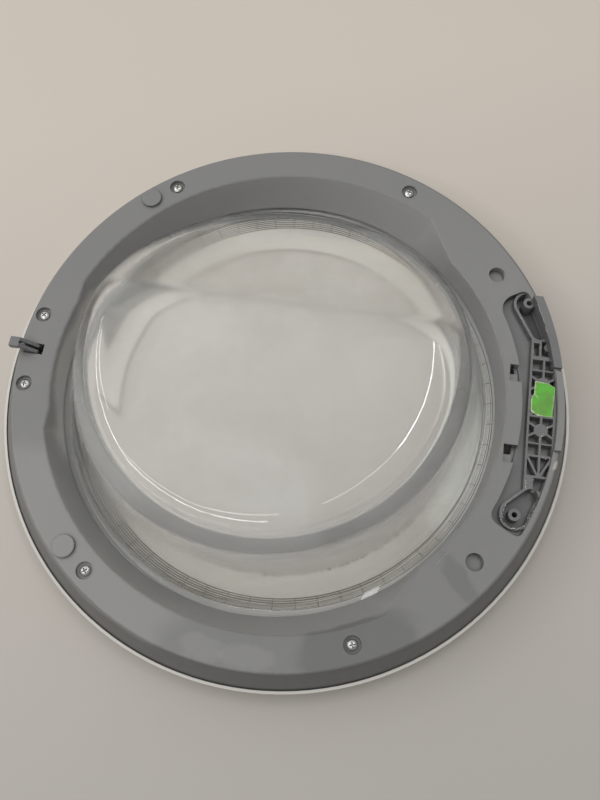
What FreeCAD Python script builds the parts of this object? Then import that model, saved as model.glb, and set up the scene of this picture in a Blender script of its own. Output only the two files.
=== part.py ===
import FreeCAD, Part
import math
import os

V = FreeCAD.Vector
UP = V(0, 0, 1)
ACROSS = V(0, 1, 0)

# Heights in millimetres above the face that the door rests on
LAND_Z = 47.0
FOOT_Z = 18.0
RIM_Z = 20.0
GLASS_TOP_Z = 123.0

# Front frame: a turned dish, its radii stepping inwards from the rim
RIM_R = 230.0
RIM_X = -2.0
RIM_LIP = 2.0
RIM_EDGE = 4.0
FRONT_WALL = 3.0
REST_STEP = 28.0
REST_W = 14.0
LEDGE_W = 4.0
LEDGE_T = 2.0
LIP_W = 31.0
LIP_EDGE_Z = 3.6
LIP_CREST_Z = 12.0
LIP_CHAMFER = 0.8
SEAT_RIB_STEP = 1.0
SEAT_RIB_T = 3.0
SEAT_RIB_FOOT = 0.4
REST_FOOT = 1.0

# Inner frame: the widths of the land are counted from its outer edge
LAND_STEP = 14.0
LAND_W = 25.5
HOOK_LAND_W = 30.5
HINGE_LAND_W = 44.0
HINGE_LAND_DEG = 46.0
HINGE_RUN_DEG = 12.5
HOOK_LAND_DEG = 15.0
HOOK_RUN_DEG = 4.5
INNER_LEAN = 13.5
WALL = 2.6
LAND_ROUND = 3.0
INNER_ROUND = 2.2

# Glass bowl
GLASS_X = -7.0
FLANGE_HOLD = 7.0
FOOT_GAP = 7.0
FLANGE_T = 5.0
GLASS_T = 8.0
BOWL_SLOPE = 0.322
BOWL_ROUND = 34.0
BOWL_ROUND_IN = 10.0
CREASE_ROUND = 45.0
CREASE_Y = 27.0
SLANT_FOOT = 14.62

# Fits
SEAT = 0.05
PIN_FIT = 0.05
SHANK_FIT = 0.4
POCKET_FIT = 0.2
SLOT_FIT = 0.5

# Screws: inset from the edge of the land and angle of the mirrored pairs
SCREW_SPOTS = [(11.3, 126.2), (13.7, 67.2), (8.8, 171.6)]
SCREW_HEAD_R = 4.0
SCREW_HEAD_H = 2.2
SCREW_BRIM_H = 0.9
SCREW_SHANK_R = 1.9
SCREW_LEN = 18.0
CROSS_L = 4.2
CROSS_W = 0.9
CROSS_D = 1.2
RECESS_R = 6.5
RECESS_D = 2.6
POST_R = 4.6
BORE_SPARE = 2.0

# Buffer plugs and blind recesses: inset and angle of each mirrored pair
PLUG_SPOT = (10.3, 133.0)
PLUG_R = 8.5
PLUG_H = 2.2
PLUG_ROUND = 0.9
PLUG_STEM_R = 4.0
PLUG_STEM_L = 9.0
BLIND_SPOT = (19.7, 36.6)
BLIND_R = 6.6
BLIND_D = 6.0

# Snap windows beside the hinge pocket: strip of land left beside each and height across the door
SNAP_SPOTS = [(3.2, 33.2), (2.3, -32.4)]
SNAP_SIZE = 14.0
SNAP_NARROW = 10.15
SNAP_D = 8.0
SNAP_TONGUE = 6.6
SNAP_TONGUE_T = 2.0
SNAP_DROP = 4.0

# Latch: places along X are counted from the pivot pin
HOOK_W = 8.0
PIN_INSET = 11.0
PIN_DROP = 8.0
PIN_R = 1.75
PIN_L = 15.6
PIN_CHAMFER = 0.4
SLOT_OUT = 7.5
SLOT_IN = 8.0
SLOT_D = 6.0
BARREL_R = 4.4
CHEEK_GAP = 4.4
LUG_T = 3.0
LUG_UNDER = 2.0
HOOK_REACH = 16.6
HOOK_TOP = 10.8
HOOK_UNDER = 5.6
HOOK_BARB = 1.4
HOOK_NECK = 6.6
HOOK_NOSE_ROUND = 1.6
RAMP_FOOT = 3.8
RAMP_HEAD = 8.3
SLIT_W = 2.0
WIRE_R = 0.5
COIL_R = 3.0
COIL_TURNS = 2
COIL_GAP = 0.12
COIL_DEG = 35.0
LEG_A = 5.5
LEG_B = 4.4

# Hinge pocket: a sector of the land
HINGE_Y = 8.5
POCKET_INSET = 31.5
POCKET_RIM = 5.0
POCKET_DEG_0 = -27.0
POCKET_DEG_1 = 30.3
POCKET_D = 18.0
POCKET_CORNER = 5.0
POCKET_BEND_LOW = 8.0
POCKET_BEND_TOP = 14.0
STRIP_Y0 = -26.0
STRIP_Y1 = 38.0
STRIP_RISE = 2.4

# Hinge bracket: cells are counted from the middle of the hinge
RIB_DROP = 2.0
RIB_T = 1.7
LEDGE_DROP = 7.0
CELL_FLOOR = 7.5
CELL_RIM = 2.4
CELL_W = 17.8
STAR_OFF = 19.0
STAR_HALF = 10.2
STAR_BOSS_R = 5.2
STAR_SPOKES = 6
WELL_OFF = 34.6
WELL_HALF = 4.2
UPPER_GAP = 3.2
UPPER_SLOT_W = 4.6
UPPER_SLOT_L = 11.0
UPPER_WELL_L = 13.0
UPPER_WELL_RIM = 1.2
UPPER_POST_R = 3.2
FORK_L = 14.5
FORK_RIM = 1.5
LOWER_WELL_L = 10.0
RAISED_UP = 15.0
RAISED_LOW = 14.0
HINGE_HOLE_INSET = 31.3
HINGE_HOLE_HALF = 86.0
HINGE_HOLE_R = 2.1
HINGE_BOSS_R = 4.6
UPPER_BOSS_RISE = 0.5
LOWER_BOSS_DROP = 5.0
CUP_R = 9.6
CUP_T = 2.2
CUP_D = 13.0
NECK_INSET = 21.0
UPPER_NECK = 62.5
UPPER_NECK_R = 6.4
LOWER_NECK = 71.0
LOWER_NECK_R = 5.4
EAR_INSET = 5.8
EAR_PROUD = 0.6
EAR_Y0 = 41.0
EAR_Y1 = 97.5
EAR_RISE_0 = 2.5
EAR_RISE_1 = 9.0

# Torn lower end of the bracket: height of the break above its lowest level
TEAR_DROP = 6.0
TEAR_REACH = 30.0
END_TEAR = [(-26, 2.2), (-13, 1.0), (-11, 3.4), (-8, 0.6), (-5, 1.9), (-1, 0.2)]
END_TEAR += [(2, 2.4), (5, 0.9), (8, 2.8), (13, 1.2), (29, 2.0)]
SIDE_TEAR = [(5, 0.8), (9, 2.6), (12, 1.0), (15, 3.3), (18, 1.4), (22, 3.8), (25, 2.6), (30, 6.0)]

# Label: corners of its torn outline from the first cell and the middle of the hinge
LABEL_T = 0.15
LABEL_EDGE = [(2.6, 20.7), (12.2, 19.9), (18.2, 17.1), (17.6, 4.5), (16.8, -7.5)]
LABEL_EDGE += [(5.4, -7.6), (0.4, -4.6), (0.1, 5.1), (2.2, 10.0)]

# Places that follow from the sizes above
FAR = 2 * RIM_R
LEDGE_R = RIM_R - RIM_LIP
REST_OUT_R = RIM_R - REST_STEP
REST_IN_R = REST_OUT_R - REST_W
LAND_R = RIM_R - LAND_STEP
LAND_IN_R = LAND_R - LAND_W
HOOK_LAND_R = LAND_R - HOOK_LAND_W
HINGE_LAND_R = LAND_R - HINGE_LAND_W
GLASS_OPEN_R = LAND_IN_R - INNER_LEAN
FLANGE_R = GLASS_OPEN_R + FLANGE_HOLD
BOWL_FOOT_R = GLASS_OPEN_R - FOOT_GAP
SEAT_RIB_R = GLASS_OPEN_R - SEAT_RIB_STEP
WINDOW_R = BOWL_FOOT_R - LIP_W
SCREW_SEAT_Z = LAND_Z - RECESS_D
PIN_X = PIN_INSET - LAND_R
PIN_Z = LAND_Z - PIN_DROP
SLOT_HALF = HOOK_W / 2 + SLOT_FIT
POCKET_IN_R = LAND_R - POCKET_INSET
POCKET_OUT_R = LAND_R - POCKET_RIM
POCKET_Z = LAND_Z - POCKET_D
RIB_Z = LAND_Z - RIB_DROP
CELL_X1 = POCKET_OUT_R - CELL_RIM
CELL_X0 = CELL_X1 - CELL_W
HINGE_HOLE_X = LAND_R - HINGE_HOLE_INSET
NECK_X = LAND_R - NECK_INSET


def polar(radius, deg, z=0.0, cx=0.0):
    a = math.radians(deg)
    return V(cx + radius * math.cos(a), radius * math.sin(a), z)


def rod(x, y, z0, z1, radius):
    return Part.makeCylinder(radius, z1 - z0, V(x, y, z0))


def cross_rod(radius, length):
    # a rod on the axis of the latch, centred on the hook
    return Part.makeCylinder(radius, length, V(PIN_X, -length / 2, PIN_Z), ACROSS)


def block(x0, x1, y0, y1, z0, z1):
    return Part.makeBox(x1 - x0, y1 - y0, z1 - z0, V(x0, y0, z0))


def prism(ring, along):
    return Part.Face(Part.makePolygon(ring + ring[:1])).extrude(along)


def outline(points):
    # a plain pair is a straight run, a pair of pairs is an arc (through, to)
    at = V(points[0][0], 0, points[0][1])
    first = at
    edges = []
    for p in points[1:]:
        if isinstance(p[0], tuple):
            mid = V(p[0][0], 0, p[0][1])
            end = V(p[1][0], 0, p[1][1])
            edges.append(Part.Arc(at, mid, end).toShape())
        else:
            end = V(p[0], 0, p[1])
            edges.append(Part.makeLine(at, end))
        at = end
    edges.append(Part.makeLine(at, first))
    return Part.Face(Part.Wire(edges))


def swept(x0, z0, x1, z1):
    # middle of the arc that leaves (x0, z0) level and ends at (x1, z1)
    run = x1 - x0
    rise = z1 - z0
    radius = (run * run + rise * rise) / (2 * rise)
    half = math.asin(run / radius) / 2
    return (x0 + radius * math.sin(half), z0 + radius * (1 - math.cos(half)))


def turned(points, deg=360):
    return outline(points).revolve(V(0, 0, 0), UP, deg)


def rib(x0, y0, x1, y1, z0, z1):
    along = V(x1 - x0, y1 - y0, 0)
    bar = Part.makeBox(along.Length, RIB_T, z1 - z0, V(0, -RIB_T / 2, z0))
    bar.rotate(V(0, 0, 0), UP, math.degrees(math.atan2(along.y, along.x)))
    bar.translate(V(x0, y0, 0))
    return bar


def trough(x0, y0, r0, x1, y1, r1, z0, z1):
    # two round ends joined by their common tangents
    gap = math.hypot(x1 - x0, y1 - y0)
    lean = math.atan2(y1 - y0, x1 - x0)
    swing = math.acos((r0 - r1) / gap)
    near = [V(x0, y0, z0) + polar(r0, math.degrees(lean + a)) for a in (swing, -swing)]
    away = [V(x1, y1, z0) + polar(r1, math.degrees(lean + a)) for a in (swing, -swing)]
    web = prism([near[0], away[0], away[1], near[1]], V(0, 0, z1 - z0))
    return web.fuse([rod(x0, y0, z0, z1, r0), rod(x1, y1, z0, z1, r1)]).removeSplitter()


def on_land(spots):
    # centres of mirrored pairs given by inset and angle
    return [polar(LAND_R - inset, side * deg) for inset, deg in spots for side in (1, -1)]


# Angles where the inner edge of the land changes its radius
HINGE_END = HINGE_LAND_DEG + HINGE_RUN_DEG
HOOK_START = 180 - HOOK_LAND_DEG
HOOK_RUN = HOOK_START - HOOK_RUN_DEG
MARKS = [-HINGE_LAND_DEG, HINGE_LAND_DEG, HINGE_END, HOOK_RUN]
MARKS += [HOOK_START, 360 - HOOK_START, 360 - HOOK_RUN, 360 - HINGE_END]


def land_radius(deg):
    a = abs((deg + 180) % 360 - 180)
    if a < HINGE_LAND_DEG + 0.01:
        return HINGE_LAND_R
    if a > HOOK_START - 0.01:
        return HOOK_LAND_R
    return LAND_IN_R


def ring_wire(radius_of, z, cx, stepped):
    # arcs between the marks, with smooth runs where a stepped ring changes its radius
    edges = []
    for i, a0 in enumerate(MARKS):
        a1 = MARKS[(i + 1) % len(MARKS)]
        if a1 < a0:
            a1 += 360
        p0 = polar(radius_of(a0), a0, z, cx)
        p1 = polar(radius_of(a1), a1, z, cx)
        if stepped and i % 2:
            run = p0.distanceToPoint(p1)
            bend = Part.BSplineCurve()
            bend.interpolate(Points=[p0, p1], Tangents=[polar(run, a0 + 90), polar(run, a1 + 90)])
            edges.append(bend.toShape())
        else:
            mid = polar(radius_of(a0), (a0 + a1) / 2, z, cx)
            edges.append(Part.Arc(p0, mid, p1).toShape())
    return Part.Wire(edges)


def funnel(grow):
    # the opening round the glass: stepped land edge above, offset circle below
    upper = ring_wire(lambda a: land_radius(a) + grow, LAND_Z, 0.0, True)
    lower = ring_wire(lambda a: GLASS_OPEN_R + grow, FOOT_Z, GLASS_X, False)
    return Part.makeLoft([lower, upper], True, True)


def pocket(grow, z0, z1):
    # hinge pocket: ring sector with radial ends and rounded corners
    r0 = POCKET_IN_R - grow
    r1 = POCKET_OUT_R + grow
    widen = math.degrees(2 * grow / (r0 + r1))
    a0 = POCKET_DEG_0 - widen
    a1 = POCKET_DEG_1 + widen
    sector = turned([(r0, z0), (r1, z0), (r1, z1), (r0, z1)], a1 - a0)
    sector.rotate(V(0, 0, 0), UP, a0)
    corners = [(r0, a0, POCKET_BEND_LOW), (r0, a1, POCKET_BEND_TOP)]
    corners += [(r1, a0, POCKET_CORNER), (r1, a1, POCKET_CORNER)]
    for radius, deg, bend in corners:
        at = polar(radius, deg, (z0 + z1) / 2)
        corner = [e for e in sector.Edges if e.BoundBox.Center.distanceToPoint(at) < 1e-3]
        sector = sector.makeFillet(bend + grow, corner)
    return sector


def make_front_frame():
    edge_z = RIM_Z - RIM_EDGE
    seat_z = FOOT_Z - FLANGE_T - 2 * SEAT
    rib_in = SEAT_RIB_R - SEAT_RIB_T / 2
    rib_out = SEAT_RIB_R + SEAT_RIB_T / 2
    ledge_in = LEDGE_R - LEDGE_W
    side = [(RIM_R, RIM_Z), (RIM_R, edge_z)]
    side.append((swept(REST_OUT_R, 0.0, RIM_R, edge_z), (REST_OUT_R, 0.0)))
    # from the resting face the lip rises to a crest under the glass and falls to the window
    side.append((REST_IN_R, 0.0))
    side += [(SEAT_RIB_R, LIP_CREST_Z - FRONT_WALL), (WINDOW_R, LIP_EDGE_Z - FRONT_WALL)]
    side += [(WINDOW_R, LIP_EDGE_Z - LIP_CHAMFER), (WINDOW_R + LIP_CHAMFER, LIP_EDGE_Z)]
    side += [(rib_in, LIP_CREST_Z), (rib_in, seat_z)]
    side += [(rib_out, seat_z), (rib_out, LIP_CREST_Z - SEAT_RIB_FOOT)]
    side += [(REST_IN_R + REST_FOOT, FRONT_WALL), (REST_OUT_R, FRONT_WALL)]
    floor_arc = swept(REST_OUT_R, FRONT_WALL, ledge_in, FOOT_Z - LEDGE_T)
    side.append((floor_arc, (ledge_in, FOOT_Z - LEDGE_T)))
    side += [(ledge_in, FOOT_Z - SEAT), (LEDGE_R, FOOT_Z - SEAT), (LEDGE_R, RIM_Z)]
    dish = turned(side)
    dish.translate(V(RIM_X, 0, 0))
    post_top = SCREW_SEAT_Z - WALL - SEAT
    bore_end = SCREW_SEAT_Z - SCREW_LEN - BORE_SPARE
    spots = on_land(SCREW_SPOTS)
    posts = [rod(at.x, at.y, FRONT_WALL / 2, post_top, POST_R) for at in spots]
    bores = [rod(at.x, at.y, bore_end, post_top, SCREW_SHANK_R + SEAT) for at in spots]
    return dish.fuse(posts).cut(bores).removeSplitter()


def oblique(inset, drop):
    # outer wall: round land above, larger round foot below on the axis of the rim
    foot_r = LEDGE_R - POCKET_FIT
    low = Part.Wire(Part.makeCircle(foot_r - inset, V(RIM_X, 0, FOOT_Z)))
    high = Part.Wire(Part.makeCircle(LAND_R - inset, V(0, 0, LAND_Z - drop)))
    return Part.makeLoft([low, high], True, True)


def on_land_edge(edge):
    if edge.BoundBox.ZMin < LAND_Z - 1e-4 or edge.BoundBox.ZMax > LAND_Z + 1e-4:
        return False
    for end in edge.Vertexes:
        p = end.Point
        if abs(math.hypot(p.x, p.y) - land_radius(math.degrees(math.atan2(p.y, p.x)))) > 0.1:
            return False
    return True


def make_inner_frame():
    shell = oblique(0.0, 0.0)
    brow = [e for e in shell.Edges if e.BoundBox.ZMin > LAND_Z - 1e-4 and e.BoundBox.XLength > LAND_R]
    shell = shell.makeFillet(LAND_ROUND, brow)
    shell = shell.cut(funnel(0.0))
    shell = shell.cut(oblique(WALL, WALL).cut(funnel(WALL)))
    adds = []
    cuts = []
    top = LAND_Z + 1
    skin = LAND_Z - WALL / 2
    for at in on_land(SCREW_SPOTS):
        adds.append(rod(at.x, at.y, SCREW_SEAT_Z - WALL, skin, RECESS_R + WALL / 2))
        cuts.append(rod(at.x, at.y, SCREW_SEAT_Z, top, RECESS_R))
        cuts.append(rod(at.x, at.y, SCREW_SEAT_Z - WALL - 1, top, SCREW_SHANK_R + SHANK_FIT))
    for at in on_land([BLIND_SPOT]):
        adds.append(rod(at.x, at.y, LAND_Z - BLIND_D - WALL / 2, skin, BLIND_R + WALL / 2))
        cuts.append(rod(at.x, at.y, LAND_Z - BLIND_D, top, BLIND_R))
    for at in on_land([PLUG_SPOT]):
        cuts.append(rod(at.x, at.y, LAND_Z - PLUG_STEM_L - 1, top, PLUG_STEM_R + SEAT))
    half = SNAP_SIZE / 2
    tongues = []
    for strip_w, y in SNAP_SPOTS:
        x0 = math.sqrt(HINGE_LAND_R ** 2 - (abs(y) - half) ** 2) + strip_w
        tongue_z = LAND_Z - SNAP_DROP
        cuts.append(block(x0, x0 + SNAP_SIZE, y - half, y, LAND_Z - SNAP_D, top))
        cuts.append(block(x0, x0 + SNAP_NARROW, y, y + half, LAND_Z - SNAP_D, top))
        tongues.append(block(x0 - 1, x0 + SNAP_TONGUE, y - half - 1, y, tongue_z - SNAP_TONGUE_T, tongue_z))
        tongues.append(block(x0 - WALL / 2, x0, y - half - 1, y, tongue_z - SNAP_TONGUE_T, LAND_Z - 1))
    strip_z = LAND_Z + STRIP_RISE
    strip = turned([(POCKET_OUT_R, skin), (LAND_R, skin), (LAND_R, strip_z), (POCKET_OUT_R, strip_z)])
    adds.append(strip.common(block(0, FAR, STRIP_Y0, STRIP_Y1, 0, FAR)))
    adds.append(pocket(WALL, POCKET_Z - WALL, skin))
    # slot and lugs of the latch, and the way through for its pin
    cuts.append(block(PIN_X - SLOT_OUT, PIN_X + SLOT_IN, -SLOT_HALF, SLOT_HALF, LAND_Z - SLOT_D, top))
    for y in (SLOT_HALF, -SLOT_HALF - LUG_T):
        lug_z = PIN_Z - BARREL_R - LUG_UNDER
        adds.append(block(PIN_X - SLOT_OUT, PIN_X + SLOT_IN, y, y + LUG_T, lug_z, skin))
    cuts.append(cross_rod(PIN_R + SEAT, 2 * PIN_L))
    for side in (1, -1):
        hole_y = HINGE_Y + side * HINGE_HOLE_HALF
        cuts.append(rod(HINGE_HOLE_X, hole_y, POCKET_Z - WALL - 1, LAND_Z, HINGE_HOLE_R))
    frame = shell.fuse(adds).cut(cuts).cut(pocket(0.0, POCKET_Z, top))
    frame = frame.fuse(tongues).removeSplitter()
    return frame.makeFillet(INNER_ROUND, [e for e in frame.Edges if on_land_edge(e)])


def bowl(inset, base, shoulder):
    # cone with a level top and a slanting side, its edges rounded
    foot = BOWL_FOOT_R - inset * math.sqrt(1 + BOWL_SLOPE ** 2)
    top = GLASS_TOP_Z - inset
    r0 = foot - BOWL_SLOPE * (base - FOOT_Z)
    r1 = foot - BOWL_SLOPE * (top - FOOT_Z)
    body = Part.makeCone(r0, r1, top - base, V(0, 0, base))
    fall = (GLASS_TOP_Z - FOOT_Z - SLANT_FOOT) / (BOWL_FOOT_R - BOWL_SLOPE * SLANT_FOOT - CREASE_Y)
    crease_y = CREASE_Y - inset * (math.sqrt(1 + fall ** 2) - 1) / fall
    run = FAR - crease_y
    wedge = [V(-FAR, crease_y, top), V(-FAR, FAR, top - run * fall)]
    wedge += [V(-FAR, FAR, FAR), V(-FAR, crease_y, FAR)]
    body = body.cut(prism(wedge, V(2 * FAR, 0, 0)))
    level = [e for e in body.Edges if e.BoundBox.ZLength < 1e-4 and e.BoundBox.YLength < 1e-4]
    crease = [e for e in level if e.BoundBox.XLength > CREASE_ROUND]
    body = body.makeFillet(CREASE_ROUND - inset, crease)
    brow = [e for e in body.Edges if on_wall(e, foot) and e.BoundBox.ZMin > base + 1]
    return body.makeFillet(shoulder, brow)


def on_wall(edge, foot):
    first, last = edge.ParameterRange
    for share in (0.2, 0.5, 0.8):
        p = edge.valueAt(first + (last - first) * share)
        if abs(math.hypot(p.x, p.y) - foot + BOWL_SLOPE * (p.z - FOOT_Z)) > 0.05:
            return False
    return True


def make_door_glass():
    flange = rod(0, 0, FOOT_Z - FLANGE_T - SEAT, FOOT_Z - SEAT, FLANGE_R)
    outside = bowl(0.0, FOOT_Z - FLANGE_T / 2, BOWL_ROUND)
    inside = bowl(GLASS_T, FOOT_Z - FLANGE_T - 1, BOWL_ROUND_IN)
    glass = outside.fuse(flange).cut(inside).removeSplitter()
    glass.translate(V(GLASS_X, 0, 0))
    return glass


def star_cell(y, z0):
    # square cell with a round boss held by spokes
    mid_x = (CELL_X0 + CELL_X1) / 2
    web = [rod(mid_x, y, z0, LAND_Z, STAR_BOSS_R)]
    for i in range(STAR_SPOKES):
        tip = polar(CELL_W, 360 * (i + 0.5) / STAR_SPOKES)
        web.append(rib(mid_x, y, mid_x + tip.x, y + tip.y, z0, LAND_Z))
    return block(CELL_X0, CELL_X1, y - STAR_HALF, y + STAR_HALF, z0, LAND_Z).cut(web)


def lattice_cells(z0):
    # middle of the bracket: a crossed cell between two stars, with twin wells beyond them
    mid_x = (CELL_X0 + CELL_X1) / 2
    cells = []
    for side in (1, -1):
        cells.append(star_cell(HINGE_Y + side * STAR_OFF, z0))
        y = HINGE_Y + side * WELL_OFF
        cells.append(block(CELL_X0, mid_x - RIB_T / 2, y - WELL_HALF, y + WELL_HALF, z0, LAND_Z))
        cells.append(block(mid_x + RIB_T / 2, CELL_X1, y - WELL_HALF, y + WELL_HALF, z0, LAND_Z))
    half = STAR_OFF - STAR_HALF - RIB_T
    y0, y1 = HINGE_Y - half, HINGE_Y + half
    cross = [rib(CELL_X0, y0, CELL_X1, y1, z0, LAND_Z), rib(CELL_X0, y1, CELL_X1, y0, z0, LAND_Z)]
    cells.append(block(CELL_X0, CELL_X1, y0, y1, z0, LAND_Z).cut(cross))
    return cells


def upper_cells(y, z0):
    # narrow slot beside a well with a post
    well_x = CELL_X0 + UPPER_SLOT_W + RIB_T
    well = block(well_x, CELL_X1 - UPPER_WELL_RIM, y, y + UPPER_WELL_L, z0, LAND_Z)
    post = rod(CELL_X1 - 2 * UPPER_POST_R, y + UPPER_WELL_L - 1.5 * UPPER_POST_R, z0, LAND_Z, UPPER_POST_R)
    return [block(CELL_X0, CELL_X0 + UPPER_SLOT_W, y, y + UPPER_SLOT_L, z0, LAND_Z), well.cut(post)]


def lower_cells(y, z0):
    # cell with a fork of three ribs, and a well below it
    mid_x = (CELL_X0 + CELL_X1) / 2
    end_y = y - FORK_L
    tines = [rib(CELL_X0, y, mid_x - RIB_T / 2, end_y, z0, LAND_Z)]
    tines.append(rib(CELL_X1, y, mid_x + RIB_T / 2, end_y, z0, LAND_Z))
    tines.append(rib(mid_x, y + 1, mid_x, end_y - 1, z0, LAND_Z))
    fork = block(CELL_X0, CELL_X1 - FORK_RIM, end_y, y, z0, LAND_Z).cut(tines)
    well_y = end_y - RIB_T
    well = block(CELL_X0 + CELL_W * 0.3, CELL_X1 - CELL_W * 0.2, well_y - LOWER_WELL_L, well_y, z0, LAND_Z)
    return [fork, well]


def make_ear(ledge_z):
    # raised ear over the outer strip at the upper end
    root_r = POCKET_OUT_R - POCKET_FIT
    in_r = LAND_R - EAR_INSET
    out_r = LAND_R + EAR_PROUD
    top = LAND_Z + EAR_RISE_1
    side = [(in_r, ledge_z), (in_r, top), (out_r, top), (out_r, LAND_Z + SEAT)]
    side += [(root_r, LAND_Z + SEAT), (root_r, ledge_z)]
    ear = turned(side, 90).common(block(0, FAR, EAR_Y0, EAR_Y1, 0, FAR))
    slope = [V(0, EAR_Y0 - 1, LAND_Z + EAR_RISE_0), V(0, EAR_Y1 + 1, top)]
    slope += [V(0, EAR_Y1 + 1, FAR), V(0, EAR_Y0 - 1, FAR)]
    return ear.cut(prism(slope, V(FAR, 0, 0)))


def tear(ends_y):
    # broken tops of the end wall and of the outer wall of the lower cup
    wall_y = ends_y - CUP_R - CUP_T
    z = LAND_Z - TEAR_DROP
    jag = [V(HINGE_HOLE_X + x, wall_y - 1, z + h) for x, h in END_TEAR]
    jag += [V(HINGE_HOLE_X + END_TEAR[i][0], wall_y - 1, LAND_Z + 1) for i in (-1, 0)]
    end_cut = prism(jag, V(0, CUP_T + TEAR_DROP, 0))
    jag = [V(HINGE_HOLE_X + TEAR_DROP, wall_y + y, z + h) for y, h in SIDE_TEAR]
    jag += [V(HINGE_HOLE_X + TEAR_DROP, wall_y + SIDE_TEAR[i][0], LAND_Z + 1) for i in (-1, 0)]
    return [end_cut, prism(jag, V(TEAR_REACH, 0, 0))]


def make_hinge_bracket():
    bed = POCKET_Z + SEAT
    ledge_z = LAND_Z - LEDGE_DROP
    cell_z = bed + CELL_FLOOR
    up_y = HINGE_Y + WELL_OFF + WELL_HALF + UPPER_GAP
    low_y = HINGE_Y - WELL_OFF - WELL_HALF - RIB_T
    upper = (HINGE_Y + HINGE_HOLE_HALF, HINGE_Y + UPPER_NECK, UPPER_NECK_R, LAND_Z + UPPER_BOSS_RISE)
    lower = (HINGE_Y - HINGE_HOLE_HALF, HINGE_Y - LOWER_NECK, LOWER_NECK_R, LAND_Z - LOWER_BOSS_DROP)
    raised = [block(CELL_X0 - RIB_T, FAR, low_y - FORK_L - RAISED_LOW, up_y + RAISED_UP, ledge_z, RIB_Z)]
    voids = lattice_cells(cell_z) + upper_cells(up_y, cell_z) + lower_cells(low_y, cell_z)
    bosses = []
    holes = []
    for hole_y, neck_y, neck_r, boss_z in (upper, lower):
        wall = (HINGE_HOLE_X, hole_y, CUP_R + CUP_T, NECK_X, neck_y, neck_r + CUP_T)
        raised.append(trough(*wall, ledge_z, RIB_Z))
        voids.append(trough(HINGE_HOLE_X, hole_y, CUP_R, NECK_X, neck_y, neck_r, LAND_Z - CUP_D, LAND_Z))
        bosses.append(rod(HINGE_HOLE_X, hole_y, bed, boss_z, HINGE_BOSS_R))
        holes.append(rod(HINGE_HOLE_X, hole_y, bed - 1, LAND_Z + EAR_RISE_1, HINGE_HOLE_R))
    room = pocket(-POCKET_FIT, bed, LAND_Z + UPPER_BOSS_RISE)
    bracket = pocket(-POCKET_FIT, bed, ledge_z).fuse([r.common(room) for r in raised])
    bracket = bracket.cut(voids).cut(tear(lower[0]))
    bracket = bracket.fuse([b.common(room) for b in bosses] + [make_ear(ledge_z)])
    return bracket.cut(holes).removeSplitter()


def make_latch_hook():
    # head, ramp and barrel in one outline, then the gap for the spring and the slit
    head_z = LAND_Z + HOOK_TOP
    under_z = LAND_Z + HOOK_UNDER
    tip_x = PIN_X - HOOK_REACH
    ramp_x = PIN_X - RAMP_HEAD
    foot_x = PIN_X + RAMP_FOOT
    neck_x = PIN_X - HOOK_NECK
    side = [(foot_x, LAND_Z), (ramp_x, head_z), (tip_x, head_z), (tip_x, under_z)]
    side += [(tip_x + HOOK_BARB, under_z - HOOK_BARB / 2), (neck_x, under_z), (neck_x, LAND_Z - 1)]
    side += [(PIN_X - BARREL_R, PIN_Z), (PIN_X + BARREL_R, PIN_Z)]
    hook = outline(side).extrude(ACROSS * HOOK_W)
    hook.translate(ACROSS * (-HOOK_W / 2))
    hook = hook.fuse(cross_rod(BARREL_R, HOOK_W))
    reach = 2 * BARREL_R
    gap = block(PIN_X - reach, PIN_X + reach, -CHEEK_GAP / 2, CHEEK_GAP / 2, PIN_Z - reach, LAND_Z - SLIT_W)
    slit = block(ramp_x, foot_x + reach, -SLIT_W / 2, SLIT_W / 2, LAND_Z - SLIT_W - 1, head_z + 1)
    hook = hook.cut([gap, slit, cross_rod(PIN_R + PIN_FIT, 2 * HOOK_W)]).removeSplitter()
    across = [e for e in hook.Edges if abs(e.BoundBox.YLength - HOOK_W) < 1e-4]
    nose = [e for e in across if e.BoundBox.XMax < tip_x + 1e-3 and e.BoundBox.ZMin > head_z - 1e-3]
    return hook.makeFillet(HOOK_NOSE_ROUND, nose)


def make_latch_pin():
    pin = cross_rod(PIN_R, PIN_L)
    return pin.makeChamfer(PIN_CHAMFER, pin.Edges)


def make_latch_spring():
    # torsion spring: one wire with a straight leg, the coils round the pin and a second leg
    pitch = 2 * WIRE_R + COIL_GAP
    rise = pitch * COIL_TURNS
    coil = Part.makeHelix(pitch, rise, COIL_R)
    lead = V(0, 2 * math.pi * COIL_R, pitch).normalize()
    first = V(COIL_R, 0, 0)
    last = V(COIL_R, 0, rise)
    tip = first - lead * LEG_A
    legs = [Part.makeLine(tip, first), Part.makeLine(last, last + lead * LEG_B)]
    path = Part.Wire(legs[:1] + coil.Edges + legs[1:])
    over = V(1, 0, 0)
    aside = lead.cross(over)
    corners = [math.radians(60 * i) for i in range(7)]
    section = Part.makePolygon([tip + (over * math.cos(a) + aside * math.sin(a)) * WIRE_R for a in corners])
    spring = path.makePipeShell([section], True, False)
    spring.translate(V(0, 0, -rise / 2))
    spring.rotate(V(0, 0, 0), V(1, 0, 0), -90)
    spring.rotate(V(0, 0, 0), ACROSS, COIL_DEG)
    spring.translate(V(PIN_X, 0, PIN_Z))
    return spring


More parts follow.
